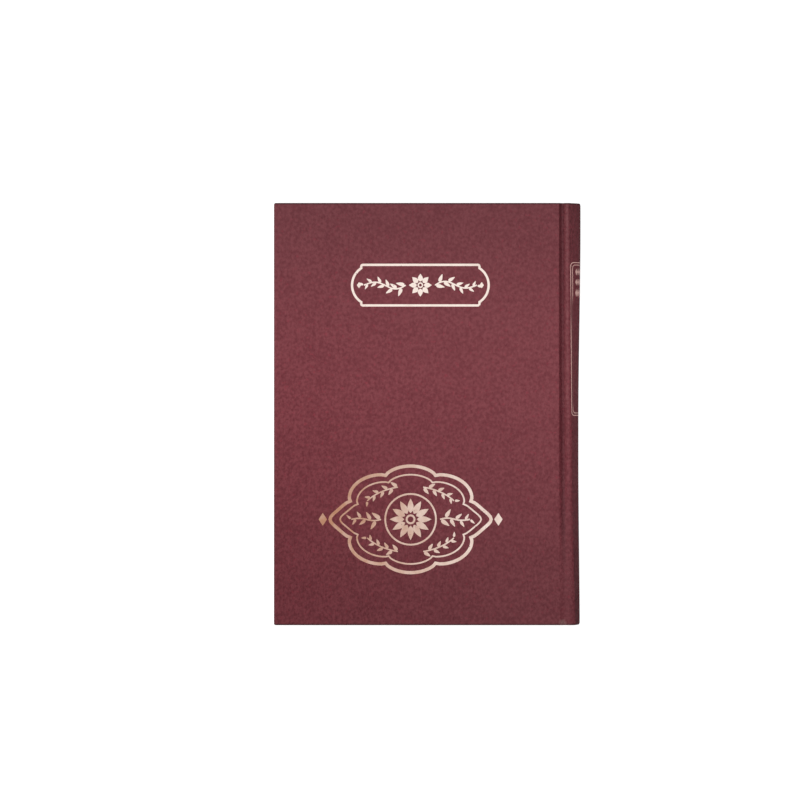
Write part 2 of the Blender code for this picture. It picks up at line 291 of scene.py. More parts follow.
def face_islands(bm):
    """Groups of faces that hang together."""
    seen = set()
    islands = []
    for first in bm.faces:
        if first in seen:
            continue
        seen.add(first)
        island = [first]
        for face in island:
            for other in (f for edge in face.edges for f in edge.link_faces):
                if other not in seen:
                    seen.add(other)
                    island.append(other)
        islands.append(island)
    return islands


def new_piece(name, bm, material, upward):
    """A linked object from a bmesh; upward is the way that the largest face of each open sheet looks."""
    bmesh.ops.remove_doubles(bm, verts=bm.verts, dist=MERGE)
    bmesh.ops.recalc_face_normals(bm, faces=bm.faces)
    for island in face_islands(bm):
        largest = max(island, key=lambda f: abs(f.normal.dot(upward)) * f.calc_area())
        if largest.normal.dot(upward) < 0:
            bmesh.ops.reverse_faces(bm, faces=island)
    mesh = bpy.data.meshes.new(name)
    bm.to_mesh(mesh)
    bm.free()
    mesh.materials.append(material)
    return link_object(name, mesh)


def evaluated_mesh(obj):
    """A plain mesh of the object with its modifiers."""
    bpy.context.view_layer.update()
    return bpy.data.meshes.new_from_object(obj.evaluated_get(bpy.context.evaluated_depsgraph_get()))


def thicken(obj, thickness):
    """Give a sheet its thickness behind its face, and shade it smooth but for its true edges."""
    modifier = obj.modifiers.new("Thickness", "SOLIDIFY")
    modifier.thickness = thickness
    modifier.offset = -1.0
    modifier.use_even_offset = True
    mesh = evaluated_mesh(obj)
    obj.modifiers.clear()
    obj.data = mesh
    mesh.shade_smooth()
    mesh.set_sharp_from_angle(angle=SHARP_ANGLE)
    return obj


def grid_faces(bm, rows):
    """Quads between neighbouring rows of equally many points."""
    made = [[bm.verts.new(p) for p in row] for row in rows]
    for row, following in zip(made, made[1:]):
        for i in range(len(row) - 1):
            bm.faces.new((row[i], row[i + 1], following[i + 1], following[i]))


def sheet(name, rows, material, upward, thickness):
    """A thin piece whose face runs through rows of points."""
    bm = bmesh.new()
    grid_faces(bm, rows)
    return thicken(new_piece(name, bm, material, upward), thickness)


def both_ends(middle, head_turn):
    """A path from the tail to the head that turns in the same way at both."""
    return [(-y, d) for y, d in reversed(head_turn)] + [(y, 0.0) for y in middle] + head_turn


def line_mesh(points):
    """A mesh of edges through points."""
    mesh = bpy.data.meshes.new("line")
    mesh.from_pydata(points, [(i, i + 1) for i in range(len(points) - 1)], [])
    return mesh


def edge_path(depth, radius, turn_in):
    """(outward, down) along the cloth from a board's face round its edge to the end of the turn-in."""
    quarter = spread(0.0, QUARTER, 5)
    path = [(radius * math.sin(a), radius * (1 - math.cos(a))) for a in quarter]
    path += [(radius * math.cos(a), depth - radius + radius * math.sin(a)) for a in quarter]
    return path + [(-(turn_in - radius) * i / 4, depth) for i in range(1, 5)]


def graded(low, high, fine, coarse_steps):
    """Values from low to high, closer together near both ends."""
    inner = spread(low + 3 * fine, high - 3 * fine, coarse_steps)
    return [low, low + fine] + inner + [high - fine, high]


def cover_sheet(side, material):
    """Cloth over one board, turned in round the head, tail and fore edge and folded over its inner end."""
    size = sizes()
    radius = size.edge_round
    left = FORE_X + radius
    top = HALF_HEIGHT - radius
    xs = graded(left, BOARD_END_X, radius, 56)
    ys = graded(-top, top, radius, 80)
    path = edge_path(WRAP_DEPTH, radius, size.turn_in)
    rolled = [(beyond, down) for beyond, down in path if beyond >= 0]
    cap_x = BOARD_END_X + 0.75 * size.cloth
    cap_inner_y = HALF_HEIGHT - size.turn_in
    place = side_place(side)

    def at(x, y, down):
        return place(Vector((x, y, BOOK_TOP - down)))

    bm = bmesh.new()
    grid_faces(bm, [[at(x, y, 0.0) for y in ys] for x in xs])
    fore = []
    head = []
    tail = []
    for beyond, down in path:
        inward = max(-beyond, 0.0)
        shrink_y = (top - inward) / top
        shrink_x = (BOARD_END_X - left - inward) / (BOARD_END_X - left)
        columns = [BOARD_END_X - (BOARD_END_X - x) * shrink_x for x in xs]
        fore.append([at(left - beyond, y * shrink_y, down) for y in ys])
        head.append([at(x, top + beyond, down) for x in columns])
        tail.append([at(x, -top - beyond, down) for x in columns])
    for strip in (fore, head, tail):
        grid_faces(bm, strip)
    for end in ENDS:
        corner = []
        cap = []
        for beyond, down in rolled:
            corner.append([at(left - beyond * math.cos(a), end * (top + beyond * math.sin(a)), down)
                           for a in spread(0.0, QUARTER, 5)])
            if down > size.cloth:
                folded = [at(cap_x, end * y, down) for y in spread(top + beyond, cap_inner_y, 3)]
                cap.append([at(BOARD_END_X, end * (top + beyond), down)] + folded)
        grid_faces(bm, corner)
        grid_faces(bm, cap)
    bmesh.ops.remove_doubles(bm, verts=bm.verts, dist=MERGE)
    bmesh.ops.dissolve_degenerate(bm, dist=MERGE, edges=bm.edges)
    return thicken(new_piece(f"{side}_cover_covering", bm, material, outward(side)), size.cloth)


# Stretches of the joint and the spine, from 0 at the head to 1 at the tail
FLARE = (0.68, 1.0)
GROOVE_FADE = (0.50, 0.92)
GROOVE_RETURN = (0.95, 1.0)
GROOVE_RETURN_SHARE = 0.35
BOW_IN = (0.05, 0.52)
BOW_OUT = (0.6, 1.05)
BOW_OUT_SHARE = 0.65


def along(y):
    """0 at the head and 1 at the tail."""
    return (HALF_HEIGHT - y) / (2 * HALF_HEIGHT)


def shoulder_x(y):
    """The shoulder crease, which leans a little from head to tail and swings out there."""
    size = sizes()
    flare = size.shoulder_flare * smoothstep(*FLARE, along(y))
    return SHOULDER_X + size.shoulder_skew * (2 * along(y) - 1) + flare


def groove_depth(y):
    """The groove is pressed deepest at the head, fades towards the tail and returns a little there."""
    size = sizes()
    back = GROOVE_RETURN_SHARE * smoothstep(*GROOVE_RETURN, along(y))
    fade = smoothstep(*GROOVE_FADE, along(y)) * (1 - back)
    return size.groove_head + (size.groove_tail - size.groove_head) * fade


def joint_down(x, y):
    """How far the joint's surface lies below the cover's face."""
    size = sizes()
    distance = x - BOARD_END_X
    middle = size.groove_place + size.groove_drift * along(y) ** 2
    dip = math.exp(-((distance - middle) / size.groove_half) ** 2)
    start = 1 - math.exp(-(distance / (0.35 * size.groove_half)) ** 2)
    shoulder = shoulder_x(y) - BOARD_END_X
    fall = (max(distance - middle, 0.0) / (shoulder - middle)) ** 4
    return groove_depth(y) * dip * start + (BOOK_TOP - SHOULDER_Z) * fall


def joint_sheet(side, material):
    """Grooved cloth between a board and the spine, turned in at head and tail."""
    size = sizes()
    lip = size.cloth * 1.2
    inner = HALF_HEIGHT - lip
    place = side_place(side)
    turn = [(inner + lip * math.sin(a), lip * (1 - math.cos(a))) for a in spread(0.0, math.pi, 6)[1:]]
    turn += [(inner - size.turn_in * i / 3, 2 * lip) for i in range(1, 4)]
    rows = []
    for y, down in both_ends(spread(-inner, inner, 60), turn):
        xs = spread(BOARD_END_X, shoulder_x(y), 26)
        rows.append([place(Vector((x, y, BOOK_TOP - joint_down(x, y) - down))) for x in xs])
    return sheet(f"{side}_joint_covering", rows, material, outward(side), size.cloth * 0.8)


def spine_point(turn, y, lift=0.0):
    """On the spine: turn runs from 1 at the front shoulder to -1 at the back one, and lift is outwards."""
    size = sizes()
    place = along(y)
    pressed = smoothstep(*BOW_IN, place) - BOW_OUT_SHARE * smoothstep(*BOW_OUT, place)
    apex = APEX_X + size.spine_reach - size.spine_bow * pressed
    rise = SHOULDER_Z - MIDDLE_Z
    reach = apex - shoulder_x(y)
    peak = size.spine_peak
    full = math.hypot(1.0, peak) - peak
    fall = (math.hypot(turn, peak) - peak) / full
    slope = reach * turn / (math.hypot(turn, peak) * full)
    normal = Vector((rise, 0.0, slope)).normalized()
    return Vector((apex - reach * fall, y, MIDDLE_Z + rise * turn)) + normal * lift


def spine_sheet(material):
    """Cloth over the spine, rounded over its ends and turned in there."""
    size = sizes()
    cap = size.cap_round
    drop = size.wrap / 2
    inner = HALF_HEIGHT - cap
    turn = [(inner + cap * math.sin(a), -drop * (1 - math.cos(a))) for a in spread(0.0, math.pi, 12)[1:]]
    turn += [(inner - size.turn_in * i / 4, -size.wrap) for i in range(1, 5)]
    path = both_ends(spread(-inner, inner, 60), turn)
    rows = [[spine_point(t, y, lift) for t in spread(-1.0, 1.0, 36)] for y, lift in path]
    return sheet("spine_covering", rows, material, SPINEWARD, size.cloth)


def inlay_sheet(material):
    """Curved card under the spine's cloth."""
    size = sizes()
    end = HALF_HEIGHT - size.cap_round
    lift = -1.2 * size.cloth
    rows = [[spine_point(t, y, lift) for t in spread(-0.86, 0.86, 24)] for y in spread(-end, end, 40)]
    return sheet("spine_card", rows, material, SPINEWARD, size.wrap - 3 * size.cloth)


# Nodes

class Wire:
    """An output of a node; arithmetic on wires and numbers adds math nodes to its tree."""

    def __init__(self, socket):
        self.socket = socket
        self.tree = socket.id_data

    def join(self, operation, other=0.0, reverse=False):
        """A math node on this wire and another wire or number."""
        pair = (other, self) if reverse else (self, other)
        return out(add_node(self.tree, "ShaderNodeMath", enumerate(pair), operation=operation))

    __add__ = functools.partialmethod(join, "ADD")
    __sub__ = functools.partialmethod(join, "SUBTRACT")
    __rsub__ = functools.partialmethod(join, "SUBTRACT", reverse=True)
    __mul__ = functools.partialmethod(join, "MULTIPLY")
    __truediv__ = functools.partialmethod(join, "DIVIDE")
    __mod__ = functools.partialmethod(join, "MODULO")
    __pow__ = functools.partialmethod(join, "POWER")
    __abs__ = functools.partialmethod(join, "ABSOLUTE")
    __lt__ = functools.partialmethod(join, "LESS_THAN")
    __gt__ = functools.partialmethod(join, "GREATER_THAN")
    most = functools.partialmethod(join, "MAXIMUM")

    def remap(self, low, high, to_low=0.0, to_high=1.0):
        """A clamped linear map."""
        inputs = {"Value": self, "From Min": low, "From Max": high, "To Min": to_low, "To Max": to_high}
        return out(add_node(self.tree, "ShaderNodeMapRange", inputs))


def out(node, name=0):
    """An output of a node, by name or number."""
    return Wire(node.outputs[name])


def plug(node, inputs):
    """Feed a node's inputs, by name or number, from wires or with plain values."""
    for name, value in dict(inputs).items():
        if isinstance(value, Wire):
            value.tree.links.new(value.socket, node.inputs[name])
        else:
            node.inputs[name].default_value = value
    return node


def add_node(tree, kind, inputs=(), **settings):
    """A node with its settings and its inputs."""
    node = tree.nodes.new(kind)
    for name, value in settings.items():
        setattr(node, name, value)
    return plug(node, inputs)


def split(vector):
    """X, Y and Z of a vector."""
    return [Wire(s) for s in add_node(vector.tree, "ShaderNodeSeparateXYZ", {"Vector": vector}).outputs]


def vector_of(tree, **parts):
    """A vector from its X, Y and Z, with 0 for those left out."""
    return out(add_node(tree, "ShaderNodeCombineXYZ", parts))


def noise(vector, scale, detail, roughness=0.5):
    """A noise texture on the given coordinates."""
    inputs = {"Vector": vector, "Scale": scale, "Detail": detail, "Roughness": roughness}
    return out(add_node(vector.tree, "ShaderNodeTexNoise", inputs))


def mix(mask, first, second, blend="MIX"):
    """One colour over another by a mask; a colour is a wire or three numbers."""
    tones = [tone if isinstance(tone, Wire) else (*tone, 1.0) for tone in (first, second)]
    inputs = {0: mask, 6: tones[0], 7: tones[1]}
    return out(add_node(mask.tree, "ShaderNodeMix", inputs, data_type="RGBA", blend_type=blend), 2)


def object_coordinates(tree):
    """Coordinates that stay with the piece."""
    return out(add_node(tree, "ShaderNodeTexCoord"), "Object")


def attribute(tree, name):
    """A number that the mesh carries."""
    return out(add_node(tree, "ShaderNodeAttribute", attribute_name=name), "Fac")


def bump(shader, height, strength, distance):
    """Feed a height to the shader's normal."""
    inputs = {"Height": height, "Strength": strength, "Distance": distance}
    plug(shader, {"Normal": out(add_node(height.tree, "ShaderNodeBump", inputs))})


def new_tree(name, kind, inputs, outputs):
    """A node tree with named sockets; returns it, its inputs as wires, and the node its outputs go to."""
    tree = bpy.data.node_groups.new(name, kind)
    for way, sockets in (("INPUT", inputs), ("OUTPUT", outputs)):
        for label, sort in sockets.items():
            tree.interface.new_socket(label, in_out=way, socket_type=f"NodeSocket{sort}")
    source = tree.nodes.new("NodeGroupInput")
    return tree, {label: out(source, label) for label in inputs}, tree.nodes.new("NodeGroupOutput")


def floats(*labels):
    """Sockets for plain numbers."""
    return dict.fromkeys(labels, "Float")


def texture_tree(name, *outputs):
    """A shader node group from coordinates to values; returns it, its coordinates and its output node."""
    tree, given, target = new_tree(name, "ShaderNodeTree", {"Vector": "Vector"}, floats(*outputs))
    return tree, given["Vector"], target


def use_group(group, vector):
    """A shader node group on the given coordinates."""
    return add_node(vector.tree, "ShaderNodeGroup", {"Vector": vector}, node_tree=group)


def new_material(name):
    """A material with a Principled shader; returns it with its tree and shader."""
    material = bpy.data.materials.new(name)
    material.use_nodes = True
    tree = material.node_tree
    return material, tree, tree.nodes["Principled BSDF"]


def shared(make):
    """Let a maker of a material or a node tree run once, and hand out the same one afterwards."""
    @functools.wraps(make)
    def find():
        for block in (*bpy.data.materials, *bpy.data.node_groups):
            if block.get("made_by") == make.__name__:
                return block
        block = make()
        block["made_by"] = make.__name__
        return block

    return find


# Cloth and card

# Wear, painted shade and painted highlight of the cloth: ranges of x, y or a distance over which they come or
# go
RIDGE_RUB_AND_HIGHLIGHT_WIDTH = (0.0003, 0.0019)
RIDGE_RUB_AND_HIGHLIGHT_Y = (-0.05, 0.01)
PAINTED_SHADE_Y = (-0.13, 0.13)
PAINTED_SHADE_X = (-0.10, 0.06)
RIM_SHADE_Y = (HALF_HEIGHT - 0.0014, HALF_HEIGHT - 0.0005)
RIM_TURN_Y = (HALF_HEIGHT - 0.0004, HALF_HEIGHT - 0.0001)
GROOVE_SHADE_WIDTH = (0.0007, 0.0019)
GROOVE_SHADE_Y = (-0.125, -0.08)


@shared
def grain_group():
    """Fine pebbled grain of the covering: height, mottling, flecks and dark specks."""
    tree, vector, target = texture_tree("Cloth grain", "Height", "Mottle", "Fleck", "Speck")
    inputs = {"Vector": vector, "Scale": 640.0, "Smoothness": 0.6}
    pebble = out(add_node(tree, "ShaderNodeTexVoronoi", inputs, feature="SMOOTH_F1"), "Distance")
    fine = noise(vector, 520.0, 1.0)
    medium = noise(vector, 400.0, 1.5)
    broad = noise(vector, 55.0, 3.0, 0.55)
    plug(target, {
        "Height": pebble * 0.9 + fine,
        "Mottle": (medium * 0.75 + broad * 0.25).remap(0.38, 0.62),
        "Fleck": noise(vector, 340.0, 2.0, 0.6).remap(0.60, 0.74),
        "Speck": noise(vector, 560.0, 1.0).remap(0.64, 0.74),
    })
    return tree


def scuff_mask(vector):
    """1 on the small rubbed place at the tail of the front joint, fading to 0 round it."""
    size = sizes()
    middle = (size.scuff_x, size.scuff_y, BOOK_TOP)
    away = add_node(vector.tree, "ShaderNodeVectorMath", {0: vector, 1: middle}, operation="DISTANCE")
    return out(away, "Value").remap(0.3 * size.scuff_reach, size.scuff_reach, 1.0, 0.0)


def ridge_rub_and_highlight(x, y):
    """Faint rubbing and painted highlight along the tops of the ridges, on the upper half."""
    return abs(x - sizes().ridge_x).remap(*RIDGE_RUB_AND_HIGHLIGHT_WIDTH, 0.2, 0.0) * y.remap(*RIDGE_RUB_AND_HIGHLIGHT_Y)


def painted_cloth_shade_masks(x, y):
    """Masks of painted shade: darker and redder towards the bottom and the left, and darker along the head
    and tail edges and in the groove.
    """
    size = sizes()
    # Painted shade, darker and redder towards the bottom and the left
    painted_shade_below_left = y.remap(*PAINTED_SHADE_Y, 1.0, 0.1) * x.remap(*PAINTED_SHADE_X, 1.0, 0.35)
    # Painted shade along the rounded head and tail edges, and in the groove, fading out near the tail
    reach = abs(y)
    rim = reach.remap(*RIM_SHADE_Y)
    turned_in = reach.remap(*RIM_TURN_Y, 1.0, 0.4)
    drift = y.remap(-HALF_HEIGHT, HALF_HEIGHT, 1.0, 0.0) ** 4.0 * size.groove_drift
    gap = abs(x - (drift + (BOARD_END_X + size.groove_place)))
    groove = gap.remap(*GROOVE_SHADE_WIDTH, 0.55, 0.0) * y.remap(*GROOVE_SHADE_Y)
    return painted_shade_below_left, (rim * turned_in).most(groove)


@shared
def cloth_material():
    """Burgundy leather-grained book cloth: painted shade towards the bottom and left and along its edges and
    groove, and rubbed in places, partly a painted highlight.
    """
    material, tree, shader = new_material("Covering cloth")
    palette = colours()
    vector = object_coordinates(tree)
    x, y, _ = split(vector)
    grain = use_group(grain_group(), vector)
    mottle = out(grain, "Mottle")
    painted_shade_below_left, painted_edge_shade = painted_cloth_shade_masks(x, y)
    # Grain contrast and bump rise with the painted shade towards the bottom and the left
    depth = painted_shade_below_left.remap(0.05, 0.9, 0.85, 1.35)
    tone = mix((mottle - 0.5) * depth + 0.5, palette.cloth_dark, palette.cloth)
    tone = mix(out(grain, "Fleck") * 0.55, tone, palette.cloth_fleck)
    tone = mix(out(grain, "Speck") * 0.5, tone, palette.cloth_dark)
    # Painted shade multiplied into the colour: towards the bottom and left, then along the edges and in the
    # groove
    tone = mix(painted_shade_below_left, tone, palette.cloth_shade_tint_below_left, "MULTIPLY")
    tone = mix(painted_edge_shade, tone, palette.cloth_edge_shade_tint, "MULTIPLY")
    # Pale rub: the scuff is wear, while on the ridge tops it is partly a painted highlight
    rub_and_highlight = scuff_mask(vector).most(ridge_rub_and_highlight(x, y)) * mottle.remap(0.0, 1.0, 0.35, 1.0)
    plug(shader, {
        "Base Color": mix(rub_and_highlight, tone, palette.cloth_rub_and_highlight),
        "Roughness": mottle.remap(0.0, 1.0, 0.56, 0.47),
        "Specular IOR Level": 0.28,
    })
    bump(shader, out(grain, "Height") * depth, 1.0, 0.00048)
    return material


@shared
def card_material():
    """Grey card of the boards and the spine strip."""
    material, tree, shader = new_material("Grey card")
    palette = colours()
    fibres = noise(object_coordinates(tree), 900.0, 4.0, 0.65)
    plug(shader, {
        "Base Color": mix(fibres.remap(0.35, 0.65), palette.card_dark, palette.card),
        "Roughness": fibres.remap(0.3, 0.7, 0.82, 0.95),
    })
    bump(shader, fibres, 0.3, 0.0001)
    return material


def bend_with_cover(strip):
    """Bake a strip's place into its mesh; the strip runs from the text block to a cover."""
    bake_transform(strip)


class LEDGER_OT_dress_covers(bpy.types.Operator):
    """Wrap both boards in cloth"""
    bl_idname = "ledger.dress_covers"
    bl_label = "Dress the covers"

    def execute(self, context):
        for side in SIDES:
            covering = cover_sheet(side, cloth_material())
            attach(covering, f"{side}_cover")
            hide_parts(f"{side}_cover_cloth")
        return {"FINISHED"}


class LEDGER_OT_dress_joints(bpy.types.Operator):
    """Lay the grooved cloth of both joints"""
    bl_idname = "ledger.dress_joints"
    bl_label = "Dress the joints"

    def execute(self, context):
        for side in SIDES:
            strip = joint_sheet(side, cloth_material())
            bend_with_cover(strip)
            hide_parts(f"{side}_joint_cloth")
        return {"FINISHED"}


class LEDGER_OT_dress_spine(bpy.types.Operator):
    """Wrap the spine in cloth over its card"""
    bl_idname = "ledger.dress_spine"
    bl_label = "Dress the spine"

    def execute(self, context):
        covering = spine_sheet(cloth_material())
        card = inlay_sheet(card_material())
        for piece, node, slot in ((covering, "spine_cloth", "cover_cloth"), (card, "spine_inlay", "board")):
            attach(piece, "text_block")
            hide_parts(node)
        return {"FINISHED"}


# Stamped foil

LOBES = 8
LOBE_DEPTH = 0.11
FINIAL_ROOM = 0.0085
FINIAL_PLACE = 0.0052
INNER_LINE_X = 0.0072
INNER_LINE_Y = 0.0062
LIFT_SHARE = 0.05
LIFT_STEPS = 12
LONGEST_EDGE = 0.002

# Ranges of x or y over which the foil turns pale in its painted reflection, passes to the spine or is
# tarnished
FOIL_PAINTED_SHINE_X = (-0.075, 0.035)
FOIL_PAINTED_SHINE_Y = (-0.045, 0.05)
FOIL_SPINE_X = (0.1000, 0.1020)
TARNISH_START_Y = (0.002, 0.008)
TARNISH_END_Y = (0.077, 0.089)
TARNISH_SPOT_Y = 0.075
TARNISH_SPOT_REACH = 0.013

# (y, height) of the bars of ornament on the spine, and how many lozenges make one
SPINE_BARS = ((0.1021, 0.0050), (0.0948, 0.0050), (0.0871, 0.0060))
BAR_LOZENGES = 8


def ring(radius, steps):
    """Points of a circle about the origin."""
    return [(radius * math.cos(a), radius * math.sin(a)) for a in spread(0.0, 2 * math.pi, steps)[:-1]]


def ribbon(bm, path, width, closed=True):
    """A flat line of even width along points in the plane."""
    count = len(path)
    pairs = []
    for i, (x, y) in enumerate(path):
        before = path[i - 1] if closed or i else path[i]
        after = path[(i + 1) % count] if closed or i + 1 < count else path[i]
        first = Vector((x - before[0], y - before[1])).normalized() if before != path[i] else None
        second = Vector((after[0] - x, after[1] - y)).normalized() if after != path[i] else None
        heading = ((first or second) + (second or first)).normalized()
        side = Vector((-heading.y, heading.x))
        straight = second or first
        stretch = 1 / max(side.dot(Vector((-straight.y, straight.x))), 0.5)
        half = side * (width / 2 * stretch)
        pairs.append((bm.verts.new((x - half.x, y - half.y, 0)), bm.verts.new((x + half.x, y + half.y, 0))))
    for i in range(count if closed else count - 1):
        (a, b), (c, d) = pairs[i], pairs[(i + 1) % count]
        bm.faces.new((a, c, d, b))


def blade(bm, outline):
    """A filled flat shape."""
    bm.faces.new([bm.verts.new((x, y, 0)) for x, y in outline])


def turned(points, angle):
    """Points turned about the origin."""
    c, s = math.cos(angle), math.sin(angle)
    return [(x * c - y * s, x * s + y * c) for x, y in points]


def petal(start, end, half_width):
    """Outline of a pointed petal lying along +X."""
    upper = [(start + (end - start) * t, half_width * math.sin(math.pi * t ** 0.75))
             for t in spread(0.0, 1.0, 7)]
    return upper + [(x, -y) for x, y in reversed(upper[1:-1])]


def rosette(bm, radius, petals, line):
    """A round flower about the origin: petals in a ring about an open eye."""
    outline = petal(0.30 * radius, radius, 0.92 * math.pi * 0.62 * radius / petals)
    for i in range(petals):
        blade(bm, turned(outline, 2 * math.pi * i / petals))
    ribbon(bm, ring(0.19 * radius, 16), 0.6 * line)


def lozenge(bm, x, y, half_width, half_height):
    """A filled diamond."""
    blade(bm, [(x - half_width, y), (x, y - half_height), (x + half_width, y), (x, y + half_height)])


def points_along(line, count):
    """Geometry node with evenly spaced points on a line of edges."""
    curve = out(add_node(line.tree, "GeometryNodeMeshToCurve", {"Mesh": line}))
    return add_node(line.tree, "GeometryNodeCurveToPoints", {"Curve": curve, "Count": count}, mode="COUNT")


def instances(points, **inputs):
    """Copies of a shape on points."""
    return out(add_node(points.tree, "GeometryNodeInstanceOnPoints", {"Points": points, **inputs}))


def moved(geometry, position):
    """Geometry with its points put in new places."""
    inputs = {"Geometry": geometry, "Position": position}
    return out(add_node(geometry.tree, "GeometryNodeSetPosition", inputs))


def marked(copies, name, value):
    """Instances that carry a number each."""
    inputs = {"Geometry": copies, "Name": name, "Value": value}
    settings = {"data_type": "FLOAT", "domain": "INSTANCE"}
    return out(add_node(copies.tree, "GeometryNodeStoreNamedAttribute", inputs, **settings))


def finish_tree(copies, material, target):
    """Realize the instances and set the material."""
    real = out(add_node(copies.tree, "GeometryNodeRealizeInstances", {"Geometry": copies}))
    paint = add_node(copies.tree, "GeometryNodeSetMaterial", {"Geometry": real, "Material": material})
    plug(target, {"Geometry": out(paint)})


def geometry_tree(name, inputs):
    """A geometry tree that also takes a material and puts out geometry."""
    return new_tree(name, "GeometryNodeTree", {**inputs, "Material": "Material"}, {"Geometry": "Geometry"})


@shared
def leaf_spray_tree():
    """Geometry nodes that set pointed leaves in turn on both sides of a stem line."""
    inputs = floats("Leaf Length", "Leaf Width", "Stem Clearance", "Lean", "Taper")
    tree, given, target = geometry_tree("Leaf spray", {"Stem": "Geometry", "Leaves": "Int", **inputs})
    points = points_along(given["Stem"], given["Leaves"])
    circle = out(add_node(tree, "GeometryNodeMeshCircle", {"Vertices": 14, "Radius": 1.0}, fill_type="NGON"))
    x, y, _ = split(out(add_node(tree, "GeometryNodeInputPosition")))
    reach = (x + 1.0) * 0.5
    leaf_x = reach * given["Leaf Length"] + given["Stem Clearance"]
    leaf_y = y * (1.0 - reach * 0.72) * given["Leaf Width"]
    index = out(add_node(tree, "GeometryNodeInputIndex"))
    side = index % 2.0 * 2.0 - 1.0
    tangent_x, tangent_y, _ = split(out(points, "Tangent"))
    angle = tangent_y.join("ARCTAN2", tangent_x) + side * given["Lean"]
    scale = 1.0 - index / given["Leaves"] * given["Taper"]
    leaf = moved(circle, vector_of(tree, X=leaf_x, Y=leaf_y))
    leaves = instances(out(points), Instance=leaf, Rotation=vector_of(tree, Z=angle), Scale=scale)
    finish_tree(leaves, given["Material"], target)
    return tree


def run_tree(tree, mesh, **values):
    """Run a geometry tree on a mesh and return the result as a plain mesh; underscores stand for spaces."""
    obj = link_object(tree.name, mesh)
    modifier = obj.modifiers.new(tree.name, "NODES")
    modifier.node_group = tree
    sockets = {s.name: s.identifier for s in tree.interface.items_tree if s.in_out == "INPUT"}
    for name, value in values.items():
        modifier[sockets[name.replace("_", " ")]] = value
    result = evaluated_mesh(obj)
    bpy.data.objects.remove(obj)
    return result


def spray(bm, path, material, leaves, leaf_length, leaf_width, stem_width, taper, lean=0.75):
    """A stem with leaves on both sides, drawn flat."""
    stem = line_mesh([(x, y, 0.0) for x, y in path])
    made = run_tree(leaf_spray_tree(), stem, Leaves=leaves, Leaf_Length=leaf_length, Leaf_Width=leaf_width,
                    Stem_Clearance=0.9 * stem_width, Lean=lean, Taper=taper, Material=material)
    bm.from_mesh(made)
    ribbon(bm, path, stem_width, closed=False)


def wave(start, end, swing, way):
    """A stem that winds gently from one x to another, to the right (way 1) or the left (way -1)."""
    turns = [(t, swing * math.sin(2 * math.pi * t) * (1 - 0.4 * t)) for t in spread(0.0, 1.0, 28)]
    return [(way * (start + (end - start) * t), way * rise) for t, rise in turns]


def arch(half_width, half_height, start, end):
    """Part of an oval about the origin, between two angles in degrees."""
    turns = [math.radians(a) for a in spread(start, end, 24)]
    return [(half_width * math.cos(a), half_height * math.sin(a)) for a in turns]


def title_outline():
    """Frame with straight long sides, stepped corners and round ends."""
    size = foil()
    w, h, notch = size.title_half_width, size.title_half_height, size.title_notch
    ease = 0.45 * notch
    chord = h - notch
    radius = (chord * chord + size.title_bulge ** 2) / (2 * size.title_bulge)
    centre = w + size.title_bulge - radius
    reach = math.asin(chord / radius)
    right = [(w - ease, h), (w - 0.3 * ease, h - 0.3 * ease), (w, h - ease)]
    right += [(centre + radius * math.cos(a), radius * math.sin(a)) for a in spread(reach, -reach, 22)]
    right += [(x, -y) for x, y in reversed(right[:3])]
    return right + [(-x, -y) for x, y in right]


def lobed_outline(half_width, half_height):
    """A wide oval with shallow lobes that meet in small cusps, and a point at either end."""
    points = []
    for a in spread(0.0, 2 * math.pi, 128)[:-1]:
        lobe = 1 - LOBE_DEPTH * (1 - abs(math.sin(LOBES * a / 2 + QUARTER)) ** 0.7)
        point_out = 1 + 0.10 * math.exp(-(math.sin(a) / 0.16) ** 2)
        points.append((half_width * lobe * point_out * math.cos(a) / 1.10, half_height * lobe * math.sin(a)))
    return points


def title_stamp(material):
    """Title frame, holding a flower between two leafy stems."""
    size = foil()
    line = size.title_line
    bm = bmesh.new()
    ribbon(bm, title_outline(), line)
    rosette(bm, radius=0.0082, petals=8, line=line)
    for end in ENDS:
        stem = wave(start=0.0105, end=0.0405, swing=0.0030, way=end)
        spray(bm, stem, material, leaves=11, leaf_length=0.0062, leaf_width=0.0019, stem_width=0.0010,
              taper=0.42)
        lozenge(bm, end * 0.0440, 0.0, half_width=0.0016, half_height=0.0022)
    return lay_on_cover("title_foil", bm, size.title_x, size.title_y, material)


def panel_stamp(material):
    """Lower ornament: a lobed medallion with a flower, leafy stems and small finials."""
    size = foil()
    line = size.panel_line
    wide = size.panel_half_width - FINIAL_ROOM
    high = size.panel_half_height - line / 2
    bm = bmesh.new()
    ribbon(bm, lobed_outline(wide, high), line)
    ribbon(bm, lobed_outline(wide - INNER_LINE_X, high - INNER_LINE_Y), 0.5 * line)
    rosette(bm, radius=0.0150, petals=12, line=line)
    ribbon(bm, ring(radius=0.0182, steps=48), 0.55 * line)
    for end in ENDS:
        stem = wave(start=0.0212, end=0.0425, swing=0.0010, way=end)
        spray(bm, stem, material, leaves=7, leaf_length=0.0072, leaf_width=0.0021, stem_width=0.0011,
              taper=0.5, lean=0.9)
        lozenge(bm, end * (wide + FINIAL_PLACE), 0.0, half_width=0.0030, half_height=0.0046)
        for lift in ENDS:
            stem = arch(end * 0.0375, lift * 0.0238, start=76.0, end=34.0)
            spray(bm, stem, material, leaves=8, leaf_length=0.0054, leaf_width=0.0018, stem_width=0.0010,
                  taper=0.35)
    return lay_on_cover("panel_foil", bm, size.panel_x, size.panel_y, material)


